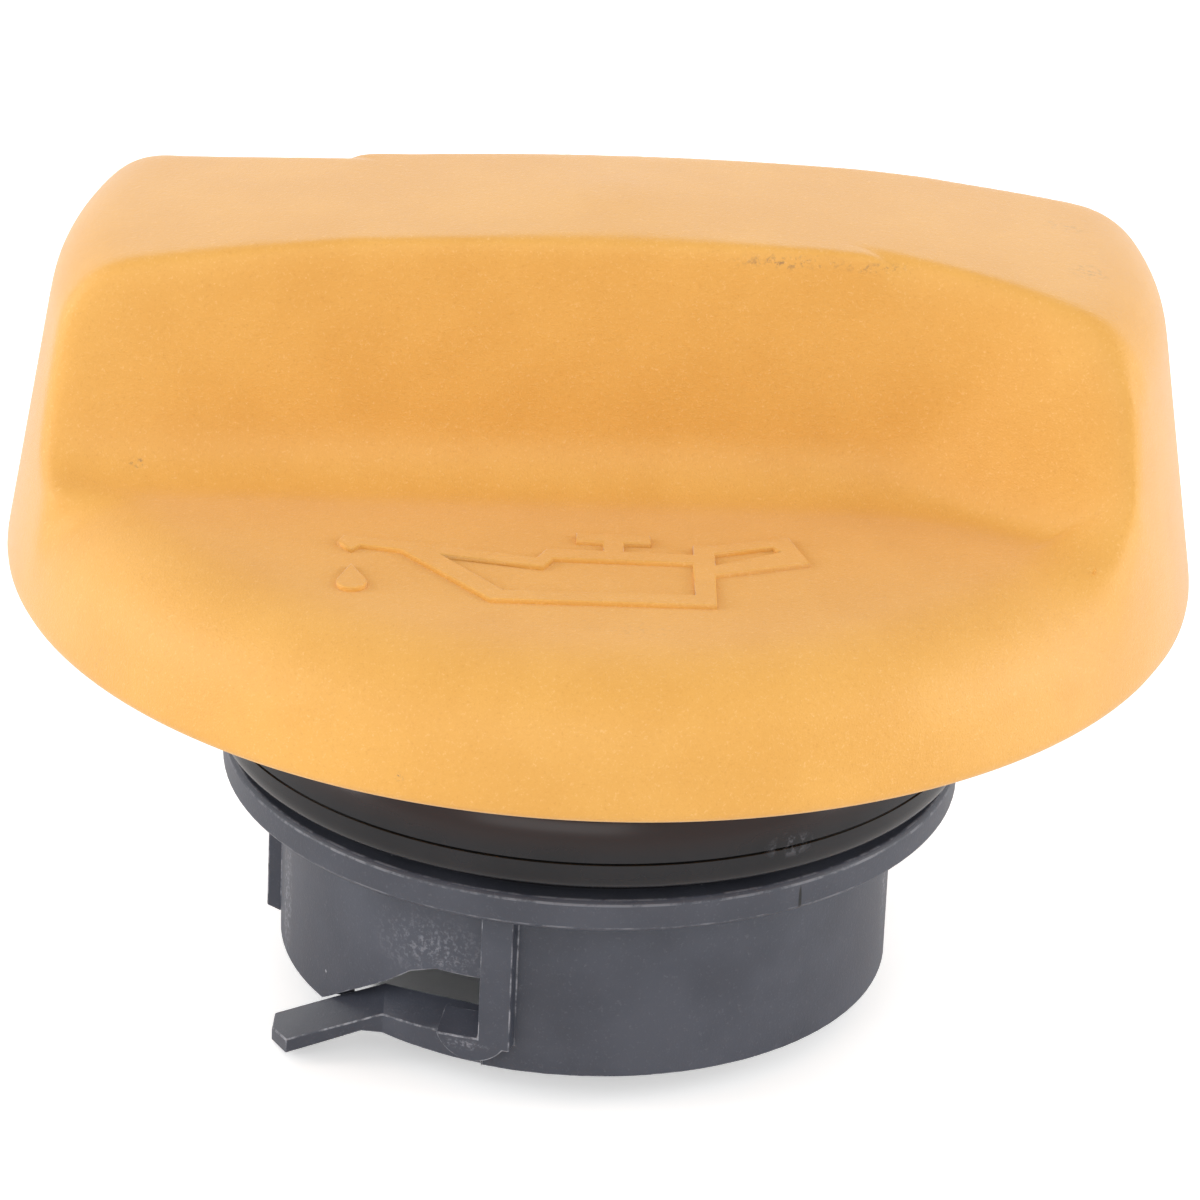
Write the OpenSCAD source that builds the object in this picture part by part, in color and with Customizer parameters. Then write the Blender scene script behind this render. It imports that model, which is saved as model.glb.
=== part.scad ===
// Oil filler cap: a grip knob over a bayonet plug with a rubber lip seal.
// Millimetres, +Z up. The axis of the cap is the Z axis, the grip runs along X,
// and z = 0 is the lowest point, the tips of the two latch arms.

/* [Knob] */
// Diameter of the knob at its rim
knob_d = 65.4; // [60:0.2:72]
// Height of the knob's rim above the rim of the cup
knob_rim_h = 23.3; // [22.5:0.1:26]
// Height of the finger floor above the knob's rim
floor_h = 7.7; // [7:0.1:10]
// Height of the grip's crown above the finger floor
grip_h = 14.2; // [11:0.2:18]
// Wall of the moulded shell
knob_wall = 2.2; // [1.8:0.1:2.6]
// Lean of the skirt and of the grip's ends, in degrees
skirt_taper = 8.9; // [5:0.1:10]
// Radius between the skirt and the finger floor
skirt_round = 5.5; // [4:0.1:6]

/* [Grip] */
// Thickness of the grip along its top edge
grip_t = 12.7; // [11:0.1:15]
// Draft of the grip's sides, in degrees
grip_draft = 3.5; // [1:0.1:6]
// Radius at the foot of the grip's sides
foot_round = 3.2; // [2:0.1:4.5]
// Radius at the top corners of the grip's ends
end_round = 5; // [3.5:0.1:7]
// Radius of the crown along the grip's top
crown_r = 150; // [110:5:300]
// Where the thumb flare leaves the straight side, from the axis
flare_start = 11.5; // [9:0.1:14]
// Radius of the thumb flare
flare_r = 24; // [20:0.5:32]

/* [Knob inside] */
// Thickness of the stiffening ribs
rib_t = 1.4; // [1:0.1:1.8]
// Number of ribs under the finger floors, in a full turn
skirt_ribs = 8; // [6:2:12]
// Wall of the socket that takes the plug's neck
socket_wall = 2.4; // [2:0.1:3]

/* [Plug] */
// Diameter of the cup that enters the filler neck
cup_d = 34.1; // [32:0.1:36]
// Wall of the cup
cup_wall = 1.6; // [1.4:0.1:2]
// Height of the cup up to the flange
cup_h = 10.7; // [9.5:0.1:12]
// Diameter of the flange that centres the cap in the filler neck
flange_d = 41; // [40:0.1:42]
// Thickness of the flange
flange_t = 1.9; // [1.5:0.1:2.4]
// Diameter of the neck that the knob's socket fits over
neck_d = 31; // [29:0.1:32]
// Wall of the neck
neck_wall = 2; // [1.6:0.1:2.4]
// Width of the guide rib on the cup
guide_w = 1.6; // [1.2:0.1:2.4]
// How far the guide rib stands off the cup
guide_proud = 0.8; // [0.5:0.1:1.2]

/* [Latch arms] */
// Width of the upright rib that carries each arm
arm_rib_w = 1.8; // [1.5:0.1:2.4]
// Distance of that rib's flat face from the cap's axis
arm_rib_face = 18; // [17.8:0.1:18.6]
// Radius of the rib's rounded foot
arm_foot_r = 2.15; // [1.8:0.05:2.4]
// Thickness of the arm along its sloping part
arm_t = 0.75; // [0.7:0.05:1]
// Height of the arm's top above the rim of the cup, at its root
arm_root_h = 1.72; // [1.5:0.05:2]
// Drop of the arm's top from its root to its bend
arm_bend_drop = 0.5; // [0.3:0.05:0.7]
// Distance of the bend from the rib's middle
arm_bend_x = 7.1; // [6.6:0.1:7.6]
// Distance of the arm's tip from the rib's middle
arm_tip_x = 14.2; // [13.2:0.1:14.4]
// Slope of the arm from its bend to its tip, in degrees
arm_slope = 21; // [17:0.5:23]
// Clearance between the arm's tip corner and the flange's outline
arm_tip_inset = 0.2; // [0.1:0.05:0.6]

/* [Seal ring] */
// Diameter of the seal ring over its bead
seal_d = 42.2; // [41.6:0.1:43]
// Height of the seal ring
seal_h = 5.85; // [5.4:0.05:6.4]
// Height of the open groove between the flange and the seal's lip
seal_groove = 1; // [0.8:0.05:1.2]
// Thickness of the seal ring from its bore to its bead
seal_t = 3.5; // [3.2:0.05:3.9]

/* [Fits] */
// Radial clearance between the neck and the knob's socket
neck_play = 0.1; // [0.05:0.05:0.2]
// Radial clearance between the seal ring and its seat
seal_play = 0.05; // [0.02:0.01:0.1]

/* [Hidden] */
$fn = 144;
crown_fn = 720;
round_steps = 12;
eps = 0.01;

knob_r = knob_d / 2;
cup_r = cup_d / 2;
flange_r = flange_d / 2;
neck_r = neck_d / 2;
seal_r = seal_d / 2;

// Heights, from the arms' tips upwards
arm_fall = (arm_tip_x - arm_bend_x) * tan(arm_slope);
rim_z = arm_fall + arm_t - (arm_root_h - arm_bend_drop);
flange_z = rim_z + cup_h;
seat_z = flange_z + flange_t;
collar_play = 0.05;
collar_z = seat_z + seal_h + collar_play;
collar_t = 1.6;
neck_z = collar_z + collar_t;
knob_rim_z = rim_z + knob_rim_h;
floor_z = knob_rim_z + floor_h;
ceiling_z = floor_z - knob_wall;
top_z = floor_z + grip_h;

// Turns about the axis, as the photo shows the parts
arm_turn = -17;
guide_turn = -95.3;

// Knob: the finger floor's edge and the foot of the grip's sides
skirt_k = tan(skirt_taper);
floor_edge = [skirt_r(floor_z - skirt_round) - skirt_round / cos(skirt_taper), floor_z - skirt_round];
foot_z = floor_z + foot_round;
foot_c = [-web_u(foot_z - foot_round * sin(grip_draft)) - foot_round * cos(grip_draft), foot_z];
flare_c = grip_t / 2 + flare_r;
cut_top_z = top_z + 6;
cut_low_z = knob_rim_z - 2;
hollow_run = 1;
least_round = 1;
reach = knob_r + 6;
flare_core_r = 4;
flare_core_lap = 2;

// Knob: its socket and the snap bead of the plug's neck
socket_r = neck_r + neck_play;
socket_out = socket_r + socket_wall;
socket_root = 0.8;
bead_h = 0.6;
bead_l = 1.6;
bead_drop = 3.2;
bead_z = ceiling_z - bead_drop;
neck_gap = 1;
neck_top_z = ceiling_z - neck_gap;
neck_root = 1;
key_w = 3;
key_h = 0.9;
key_count = 4;
key_play = 0.1;
key_run = 1;
key_set_in = 0.2;
key_bead_gap = 1.2;
key_top_z = bead_z - key_bead_gap;

// Ribs: the radial ones start in the socket's wall, and the grip's cross ribs stand on it,
// so that they close the room over the neck
rib_drop = 3;
rib_root = 0.5;
rib_end_in = 2.15;
grip_rib_half = grip_t / 2 + rib_end_in;
grip_rib_x = socket_r + socket_wall / 2;
grip_rib_z = ceiling_z + 0.75 * socket_root;

// Plug: the seat of the seal ring under the collar
seat_r = seal_r - seal_t;
collar_in = 0.7;
collar_r = flange_r - collar_in;
seat_bore_in = 1.5;
seat_bore_r = seat_r - neck_wall;
neck_bore_r = neck_r - neck_wall;
cup_bore_r = cup_r - cup_wall;
flange_bevel = 0.25;

// Latch arm: its rib's middle lies on -Y and its tip towards -X
arm_tip_w = 0.5;
arm_set_in = 0.05;
blade_in = 2.4;
blade_taper = 0.95;
blade_taper_x = -10.6;
arm_in_y = -(cup_bore_r - blade_in);
arm_tip_in_y = arm_in_y + blade_taper;
arm_bend_y = -sqrt(cup_r * cup_r - arm_bend_x * arm_bend_x);
arm_corner_out = 0.7;
arm_corner_y = arm_bend_y - arm_corner_out;
arm_corner_x = -sqrt(pow(flange_r - arm_tip_inset, 2) - arm_corner_y * arm_corner_y);
arm_chamfer = 2.1;
arm_end_y = arm_corner_y + arm_chamfer;
arm_root_x = 3;
arm_bend_z = rim_z + arm_root_h - arm_bend_drop;
foot_x = arm_rib_w / 2 - arm_foot_r;
foot_low = 0.7;
foot_over = 0.4;
foot_top_z = rim_z + arm_root_h + foot_over;
foot_lap = 0.5;
window_in = 1;
// Roof of the window over the arm, from the rib outwards, as heights above the cup's rim
window_roof = [[-3.8, 5.2], [-5.3, 4.6], [-6.7, 3.5], [-9.4, 1.6], [-11.4, -eps]];
window_h = 5.3;

// Guide rib: how high above the cup's rim its foot and its full depth start
guide_foot = 0.4;
guide_full = 3;

// Seal ring: its waist below the lip, the lip's edge, the bead and its shoulder
seal_waist = 2.1;
seal_lip_rise = 0.2;
seal_lip_in = 0.35;
seal_bead_rise = 1.4;
seal_shoulder = [0.5, 1.7];
seal_top_in = 2;

function skirt_r(z) = knob_r - (z - knob_rim_z) * skirt_k;
function web_u(z) = grip_t / 2 + (top_z - z) * tan(grip_draft);

// Points of an arc in steps, from angle a0 to a1. A round that the thumb flare crosses
// is built of these, since its exact ring would not cut against the flare.
function arc_points(c, r, a0, a1) =
    [for (i = [0 : round_steps])
        let (a = a0 + (a1 - a0) * i / round_steps)
        c + r * [cos(a), sin(a)]];

// Centre of the round between the crown and the leaning end wall, in the r-z plane.
// It lies crown_r - inset - r from the crown's centre and r inside the wall.
function end_centre(inset, r) =
    let (zc = top_z - crown_r,
         far = crown_r - inset - r,
         b = knob_r - (inset + r) / cos(skirt_taper) - skirt_k * (zc - knob_rim_z),
         q = 1 + skirt_k * skirt_k,
         u = (b * skirt_k + sqrt(b * b * skirt_k * skirt_k - q * (b * b - far * far))) / q)
    [b - skirt_k * u, zc + u];

// Section of the knob's full height: leaning wall, round end, crowned top
module grip_section(inset) {
    r = max(end_round - inset, least_round);
    c = end_centre(inset, r);
    crown_c = [0, top_z - crown_r];
    crown_dir = (c - crown_c) / norm(c - crown_c);
    crown_a = atan2(crown_dir[1], crown_dir[0]);
    low_z = knob_rim_z - (inset > 0 ? hollow_run : 0);
    intersection() {
        translate(crown_c) circle(r = crown_r - inset, $fn = crown_fn);
        polygon(concat([[0, low_z], [skirt_r(low_z) - inset / cos(skirt_taper), low_z]],
                       arc_points(c, r, skirt_taper, crown_a),
                       [c + (r + hollow_run) * crown_dir, [0, top_z]]));
    }
}

// Section of the space over the low part: flat over the finger floor, round over the
// shoulder, then on past the leaning skirt
module over_section(inset) {
    shoulder = arc_points(floor_edge, skirt_round - inset, 90, skirt_taper);
    last = shoulder[round_steps];
    run_out = last + 2 * (last - shoulder[round_steps - 1]);
    polygon(concat([[0, cut_top_z], [0, floor_z - inset]], shoulder,
                   [run_out, [reach, run_out[1]], [reach, cut_top_z]]));
}

// Section of the space beside the grip: the grip's middle plane is at x = 0 and
// the space lies on the side of -x
module side_section(inset, x_end) {
    polygon(concat([[-x_end, cut_top_z], [-x_end, cut_low_z], [foot_c[0], cut_low_z]],
                   arc_points(foot_c, foot_round + inset, -90, -grip_draft),
                   [[inset / cos(grip_draft) - web_u(cut_top_z), cut_top_z]]));
}

// Space beside the grip: straight along the side, then round the thumb flare
module side_space(inset) {
    translate([-reach, 0, 0])
        rotate([90, 0, 90])
            linear_extrude(reach + flare_start)
                side_section(inset, reach);
    translate([flare_start, -flare_c, 0])
        rotate_extrude(angle = 90)
            translate([flare_c, 0]) side_section(inset, flare_c - flare_core_r);
    translate([flare_start, -flare_c, cut_low_z])
        cylinder(r = flare_core_r + flare_core_lap, h = top_z);
    translate([flare_start - eps, -reach, cut_low_z])
        cube([reach, reach - flare_c + 2 * eps, top_z]);
}

module knob_form(inset) {
    difference() {
        rotate_extrude() grip_section(inset);
        for (turn = [0, 180])
            rotate([0, 0, turn])
                intersection() {
                    side_space(inset);
                    rotate_extrude() over_section(inset);
                }
    }
}

// Ribs that stay standing in the hollow of the shell
module knob_ribs() {
    for (side = [-1 : 1])
        translate([side * grip_rib_x - rib_t / 2, -grip_rib_half, grip_rib_z])
            cube([rib_t, 2 * grip_rib_half, top_z]);
    for (i = [0 : skirt_ribs - 1])
        rotate([0, 0, (i + 0.5) * 360 / skirt_ribs])
            translate([socket_out - rib_root, -rib_t / 2, ceiling_z - rib_drop])
                cube([reach, rib_t, top_z]);
}

// Key ways or keys: a ring of blocks round the neck
module keys(play) {
    low_z = neck_z - (play > 0 ? key_run : key_set_in);
    for (i = [0 : key_count - 1])
        rotate([0, 0, (i + 0.5) * 360 / key_count])
            translate([neck_r - neck_root, -key_w / 2 - play, low_z])
                cube([neck_root + key_h + play, key_w + 2 * play, key_top_z + play - low_z]);
}

module snap_bead(grow) {
    translate([0, 0, bead_z])
        rotate_extrude()
            polygon([[neck_r - neck_root, -grow], [neck_r, -grow],
                     [neck_r + bead_h + grow, bead_h],
                     [neck_r + bead_h + grow, bead_l - bead_h], [neck_r, bead_l + grow],
                     [neck_r - neck_root, bead_l + grow]]);
}

module socket() {
    difference() {
        translate([0, 0, neck_z])
            cylinder(r = socket_out, h = ceiling_z + socket_root - neck_z);
        translate([0, 0, neck_z - key_run]) cylinder(r = socket_r, h = top_z);
        keys(key_play);
        snap_bead(neck_play);
    }
}

module knob() {
    color("#f5a53a") {
        difference() {
            knob_form(0);
            difference() {
                knob_form(knob_wall);
                knob_ribs();
            }
        }
        socket();
    }
}

// Section of the turned body of the plug: cup, flange, seal seat, collar, neck
module plug_section() {
    polygon([
        [0, flange_z], [cup_bore_r, flange_z], [cup_bore_r, rim_z], [cup_r, rim_z],
        [cup_r, flange_z],
        [flange_r - flange_bevel, flange_z], [flange_r, flange_z + flange_bevel],
        [flange_r, seat_z - flange_bevel], [flange_r - flange_bevel, seat_z],
        [seat_r, seat_z], [seat_r, collar_z],
        [collar_r, collar_z], [collar_r, neck_z], [neck_r, neck_z],
        [neck_r, neck_top_z], [neck_bore_r, neck_top_z],
        [neck_bore_r, collar_z], [seat_bore_r, collar_z - seat_bore_in], [seat_bore_r, seat_z],
        [0, seat_z]
    ]);
}

// The window in the cup's wall, which frees the arm
module arm_window() {
    side = arm_rib_w / 2;
    roof_end = window_roof[len(window_roof) - 1];
    translate([0, arm_in_y + window_in, rim_z])
        rotate([90, 0, 0])
            linear_extrude(cup_r)
                polygon(concat([[-side, -1], [-side, window_h]], window_roof,
                               [[roof_end[0], -1]]));
}

// The springy arm: level behind the rib, then sloping down to its tip
module arm_blade() {
    low_z = rim_z + arm_set_in;
    intersection() {
        rotate([90, 0, 0])
            linear_extrude(flange_r)
                polygon([[arm_root_x, low_z], [arm_root_x, rim_z + arm_root_h],
                         [0, rim_z + arm_root_h], [-arm_bend_x, arm_bend_z],
                         [-arm_tip_x, arm_t], [-arm_tip_x, 0],
                         [low_z / tan(arm_slope) - arm_tip_x, low_z]]);
        linear_extrude(top_z)
            union() {
                polygon([[arm_root_x, arm_in_y], [blade_taper_x, arm_in_y],
                         [-arm_tip_x, arm_tip_in_y],
                         [-arm_tip_x + arm_tip_w, arm_end_y], [arm_corner_x, arm_corner_y],
                         [-arm_bend_x, arm_bend_y], [arm_root_x, arm_bend_y]]);
                intersection() {
                    circle(r = cup_r - arm_set_in);
                    translate([-arm_bend_x, -cup_r])
                        square([arm_bend_x + arm_root_x, cup_r + arm_in_y]);
                }
            }
    }
}

// The upright rib with its rounded foot, which carries the arm
module arm_rib() {
    foot_z = rim_z + foot_low + arm_foot_r;
    translate([0, -cup_r + cup_wall / 2, 0])
        rotate([90, 0, 0])
            linear_extrude(arm_rib_face - cup_r + cup_wall / 2) {
                translate([-arm_rib_w / 2, foot_z]) square([arm_rib_w, flange_z + eps - foot_z]);
                intersection() {
                    translate([foot_x, foot_z]) circle(r = arm_foot_r);
                    translate([foot_x - arm_foot_r, rim_z])
                        square([2 * arm_foot_r, foot_top_z - rim_z]);
                }
                translate([-arm_rib_w / 2, foot_top_z - foot_lap])
                    square([arm_rib_w, foot_z - foot_top_z + foot_lap + eps]);
            }
}

// The rib on the cup's side that guides the cap into the filler neck
module guide_rib() {
    rotate([0, 0, guide_turn])
        translate([-guide_w / 2, 0, 0])
            rotate([90, 0, 90])
                linear_extrude(guide_w)
                    polygon([[-cup_r + cup_wall / 2, flange_z + eps],
                             [-cup_r - guide_proud, flange_z + eps],
                             [-cup_r - guide_proud, rim_z + guide_full],
                             [-cup_r + eps, rim_z + guide_foot],
                             [-cup_r + cup_wall / 2, rim_z + guide_foot]]);
}

module plug() {
    color("#3c3e44") {
        difference() {
            rotate_extrude() plug_section();
            for (turn = [0, 180])
                rotate([0, 0, arm_turn + turn]) arm_window();
        }
        for (turn = [0, 180])
            rotate([0, 0, arm_turn + turn]) {
                arm_blade();
                arm_rib();
            }
        guide_rib();
        keys(0);
        snap_bead(0);
    }
}

// Lip seal: it sits on the flange under the collar, with an undercut below its lip
module seal_ring() {
    in_r = seat_r + seal_play;
    lip_z = seat_z + seal_groove;
    ridge_z = lip_z + seal_bead_rise;
    end_z = seat_z + seal_h;
    color("#26252a")
        rotate_extrude()
            polygon([[in_r, seat_z], [seal_r - seal_waist, seat_z],
                     [seal_r - seal_waist, lip_z - seal_lip_rise], [seal_r - seal_lip_in, lip_z],
                     [seal_r, ridge_z], [seal_r - seal_shoulder[0], ridge_z + seal_shoulder[1]],
                     [seal_r - seal_top_in, end_z], [in_r, end_z]]);
}

knob();
plug();
seal_ring();
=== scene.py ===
"""Oil filler cap: orange grip knob over a black bayonet plug with a rubber lip seal."""

import math

import bmesh
import bpy
import numpy as np
from mathutils import Matrix, Vector
from mathutils.bvhtree import BVHTree


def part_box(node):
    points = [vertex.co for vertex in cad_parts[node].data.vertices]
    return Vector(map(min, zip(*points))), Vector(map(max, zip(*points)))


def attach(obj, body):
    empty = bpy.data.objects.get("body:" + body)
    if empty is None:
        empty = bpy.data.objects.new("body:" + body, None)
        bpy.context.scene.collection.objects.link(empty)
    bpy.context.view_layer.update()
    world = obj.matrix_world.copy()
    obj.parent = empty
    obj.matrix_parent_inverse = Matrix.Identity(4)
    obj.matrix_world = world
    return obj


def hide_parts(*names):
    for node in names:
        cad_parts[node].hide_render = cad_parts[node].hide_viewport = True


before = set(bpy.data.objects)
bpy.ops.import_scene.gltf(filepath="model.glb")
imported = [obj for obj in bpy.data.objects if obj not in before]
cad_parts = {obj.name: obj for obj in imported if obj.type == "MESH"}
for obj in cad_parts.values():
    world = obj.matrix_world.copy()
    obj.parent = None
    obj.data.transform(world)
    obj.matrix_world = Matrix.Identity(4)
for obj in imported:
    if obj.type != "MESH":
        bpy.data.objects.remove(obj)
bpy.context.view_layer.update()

MM = 0.001
BODY = "root"
# Points nearer than this are one point, and shorter edges are no edges, in metres
SAME_POINT = 1e-6
LEAST_EDGE = 1e-7

# The solids' corners on the frame, in metres
plug_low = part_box("plug")[0]
seal_low, seal_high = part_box("seal_ring")
knob_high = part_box("knob")[1]

# Heights and radii taken from them, in millimetres
GRIP_HEIGHT = 14.2
FINGER_FLOOR_Z = knob_high.z / MM - GRIP_HEIGHT
SEAT_Z = seal_low.z / MM
FLANGE_THICK = 1.9
FLANGE_Z = SEAT_Z - FLANGE_THICK
SEAL_R = seal_high.x / MM
SEAL_HEIGHT = (seal_high.z - seal_low.z) / MM

# The camera, fitted to the photograph
CAMERA_PLACE = Vector((-14.7, -370.1, 198.8)) * MM
CAMERA_TARGET = Vector((0.19, 0.0, 22.94)) * MM
CAMERA_ROLL = math.radians(2.5)
CAMERA_LENS = 222.1
CAMERA_SENSOR = 36.0
CAMERA_NEAREST = 0.01


def looking_at(place, target):
    """The matrix that puts a camera or a lamp at a place and aims it at a target."""
    aim = (target - place).to_track_quat("-Z", "Y").to_matrix().to_4x4()
    return Matrix.Translation(place) @ aim


def aim_camera():
    """The photograph's viewpoint: a long lens, 25 degrees above the cap, with a slight roll."""
    data = bpy.data.cameras.new("camera")
    data.sensor_width = CAMERA_SENSOR
    data.lens = CAMERA_LENS
    data.clip_start = CAMERA_NEAREST
    camera = new_object("camera", data)
    camera.matrix_world = (looking_at(CAMERA_PLACE, CAMERA_TARGET)
                           @ Matrix.Rotation(CAMERA_ROLL, 4, "Z"))
    bpy.context.scene.camera = camera


# Meshes

def new_object(name, data):
    """An object in the scene that holds a mesh, a curve, a lamp or a camera."""
    made = bpy.data.objects.new(name, data)
    bpy.context.collection.objects.link(made)
    return made


def mesh_from(bm, name):
    """Turns a finished bmesh into a mesh and frees it."""
    mesh = bpy.data.meshes.new(name)
    bm.to_mesh(mesh)
    bm.free()
    return mesh


def welded_copy(node):
    """A CAD node's mesh with its loose triangles merged."""
    bm = bmesh.new()
    bm.from_mesh(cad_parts[node].data)
    bmesh.ops.remove_doubles(bm, verts=bm.verts, dist=SAME_POINT)
    bmesh.ops.dissolve_degenerate(bm, edges=bm.edges, dist=LEAST_EDGE)
    return bm


def shade_smooth(bm, sharp_from):
    """Shades the faces smooth, and leaves an edge sharp from this many degrees on."""
    for face in bm.faces:
        face.smooth = True
    for edge in bm.edges:
        edge.smooth = edge.calc_face_angle(0.0) < math.radians(sharp_from)


def finish_piece(piece, material, slot, *nodes):
    """Gives a piece its material and its body, and hides the CAD nodes that it replaces; the slot is
    not used.
    """
    piece.data.materials.clear()
    piece.data.materials.append(material)
    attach(piece, BODY)
    if nodes:
        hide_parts(*nodes)
    return piece


# The knob's outside is sampled from this point on the axis, by looks from this far out, in metres
HUB = Vector((0.0, 0.0, 20.0)) * MM
LOOK_FROM = 0.1
KNOB_R = knob_high.x
KNOB_RIM_Z = 25.555 * MM
RIM_WIDTH = 2.23 * MM
RIM_IN_R = KNOB_R - RIM_WIDTH
# Looks in a half plane, and how far the first and the last stay off the axis and the rim, in radians
LOOKS = 1000
OFF_AXIS = 0.001
OFF_RIM = 0.0005
# The net: steps round the knob, down its outside and in under its rim
ROUND_STEPS = 540
PROFILE_STEPS = 150
RIM_STEPS = 6
# The net's first step out from the axis, as a share of the way down to the rim
FIRST_STEP = 0.02
# How often the net is eased all over, and again where a flare runs out on the skirt
EASING = 12
EASING_SHARE = 0.5
END_EASING = 36
# Those two places and how far round them the easing goes, in millimetres
SOFT_ENDS = [((26.4, -16.8, 31.5), 5.0), ((-26.4, 16.8, 31.5), 5.0)]
# Faces of the solid past this radius and height are in the skirt's notches, in millimetres
NOTCH_R = 30.4
NOTCH_Z = 27.5
# Faces over this height that lean up are on the crown, in millimetres
CROWN_Z = 42.0
# How near a face lies to what is seen from outside and to the rim's plane, in metres
SKIN_GAP = 0.02 * MM
RIM_GAP = 0.01 * MM
# The upward part of a face's normal: what looks down, and how much a face leans up
LOOKS_DOWN = -0.9
LEANS = 0.05
# Edges of the hollow side are sharp from this angle, in degrees
KNOB_SHARP_FROM = 30


def outside_hit(tree, direction):
    """Where a look from outside towards the hub first meets the knob."""
    return tree.ray_cast(HUB + direction * LOOK_FROM, -direction)[0]


def outline_at(tree, turn):
    """The knob's outline in the half plane at this turn, from crown to rim in even steps."""
    lowest = math.atan2(KNOB_RIM_Z - HUB.z, KNOB_R) + OFF_RIM
    seen = []
    for rise in np.linspace(math.pi / 2 - OFF_AXIS, lowest, LOOKS):
        out = math.cos(rise)
        direction = Vector((out * math.cos(turn), out * math.sin(turn), math.sin(rise)))
        place = outside_hit(tree, direction)
        if place:
            seen.append((math.hypot(place.x, place.y), place.z))
    seen = np.array([(0.0, seen[0][1])] + seen + [(KNOB_R, KNOB_RIM_Z)])
    along = np.concatenate([[0.0], np.cumsum(np.hypot(*np.diff(seen, axis=0).T))])
    steps = np.linspace(FIRST_STEP, 1.0, PROFILE_STEPS) * along[-1]
    return np.interp(steps, along, seen[:, 0]), np.interp(steps, along, seen[:, 1])


def net_row(skin, tree, turn):
    """One row of the net's points: down the outside at this turn, then in under the rim."""
    radii, heights = outline_at(tree, turn)
    under = np.linspace(KNOB_R, RIM_IN_R, RIM_STEPS + 1)[1:]
    radii = np.concatenate([radii, under])
    heights = np.concatenate([heights, np.full(RIM_STEPS, KNOB_RIM_Z)])
    return [skin.verts.new((r * math.cos(turn), r * math.sin(turn), z))
            for r, z in zip(radii, heights)]


def ease(bm, verts, times):
    """Draws each point towards the middle of its neighbours, so many times."""
    for _ in range(times):
        bmesh.ops.smooth_vert(bm, verts=verts, factor=EASING_SHARE,
                              use_axis_x=True, use_axis_y=True, use_axis_z=True)


def drop_outside(bm, tree):
    """Leaves only the hollow side of the knob's shell: what faces up or out to the open goes."""
    outside = []
    for face in bm.faces:
        up = face.normal.z
        middle = face.calc_center_median()
        place = outside_hit(tree, (middle - HUB).normalized())
        seen = place and (place - middle).length < SKIN_GAP
        rim = up < LOOKS_DOWN and abs(middle.z - KNOB_RIM_Z) < RIM_GAP
        notch = math.hypot(middle.x, middle.y) > NOTCH_R * MM and middle.z > NOTCH_Z * MM
        crown = up > LEANS and middle.z > CROWN_Z * MM
        free = tree.ray_cast(middle + face.normal * SKIN_GAP, face.normal)[0] is None
        open_side = free and up > -LEANS and middle.z > KNOB_RIM_Z
        if seen or rim or notch or crown or open_side:
            outside.append(face)
    bmesh.ops.delete(bm, geom=outside, context="FACES")


def eased_knob(name):
    """An even net over the outside of the CAD knob, its edges eased as the mould leaves them."""
    inner = welded_copy("knob")
    tree = BVHTree.FromBMesh(inner)
    skin = bmesh.new()
    rows = [net_row(skin, tree, 2 * math.pi * (step + 0.5) / ROUND_STEPS)
            for step in range(ROUND_STEPS)]
    for row, beside in zip(rows, rows[1:] + rows[:1]):
        for k in range(len(row) - 1):
            skin.faces.new((row[k], row[k + 1], beside[k + 1], beside[k]))
    skin.faces.new([row[0] for row in rows])
    moving = [vert for row in rows for vert in row[:-1]]
    ease(skin, moving, EASING)
    for place, reach in SOFT_ENDS:
        near = [vert for vert in moving if (vert.co / MM - Vector(place)).length < reach]
        ease(skin, near, END_EASING)
    bmesh.ops.recalc_face_normals(skin, faces=skin.faces)
    for face in skin.faces:
        face.smooth = True
    drop_outside(inner, tree)
    shade_smooth(inner, KNOB_SHARP_FROM)
    hollow = mesh_from(inner, name + "_hollow")
    skin.from_mesh(hollow)
    bpy.data.meshes.remove(hollow)
    return mesh_from(skin, name)


# The plug's broken edges. Points this near are merged and faces this flat are joined first,
# because short edges spoil the bevel. In millimetres and degrees.
MERGE_WITHIN = 0.02
FLAT_WITHIN = 1.5
BROKEN_WIDTH = 0.075
BROKEN_FROM = 32
PLUG_SHARP_FROM = 40
# A bevel's strip has less area than this, a face that it reshaped has more, in square millimetres
STRIP_AREA = 1.2
NORMAL_WEIGHT = 80


def crisp_edged(name, bm):
    """Breaks the sharp edges with a small bevel and marks the bevel in the attribute edge."""
    bmesh.ops.remove_doubles(bm, verts=bm.verts, dist=MERGE_WITHIN * MM)
    bmesh.ops.dissolve_limit(bm, angle_limit=math.radians(FLAT_WITHIN),
                             verts=bm.verts, edges=bm.edges)
    sharp = [edge for edge in bm.edges if len(edge.link_faces) == 2
             and edge.calc_face_angle(0.0) > math.radians(BROKEN_FROM)]
    made = bmesh.ops.bevel(bm, geom=sharp, offset=BROKEN_WIDTH * MM, offset_type="OFFSET",
                           segments=2, profile=0.5, affect="EDGES", clamp_overlap=False,
                           material=-1)
    mark = bm.loops.layers.float.new("edge")
    for face in made["faces"]:
        if face.calc_area() > STRIP_AREA * MM * MM:
            continue
        for loop in face.loops:
            loop[mark] = 1.0
    shade_smooth(bm, PLUG_SHARP_FROM)
    return mesh_from(bm, name)


# The latch arms: in the photograph each blade rises towards its inner edge and its tip stands
# further out than the solid's. The first arm is at the front, the second half a turn on.
ARM_TURNS = (math.radians(-17), math.radians(163))
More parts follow.
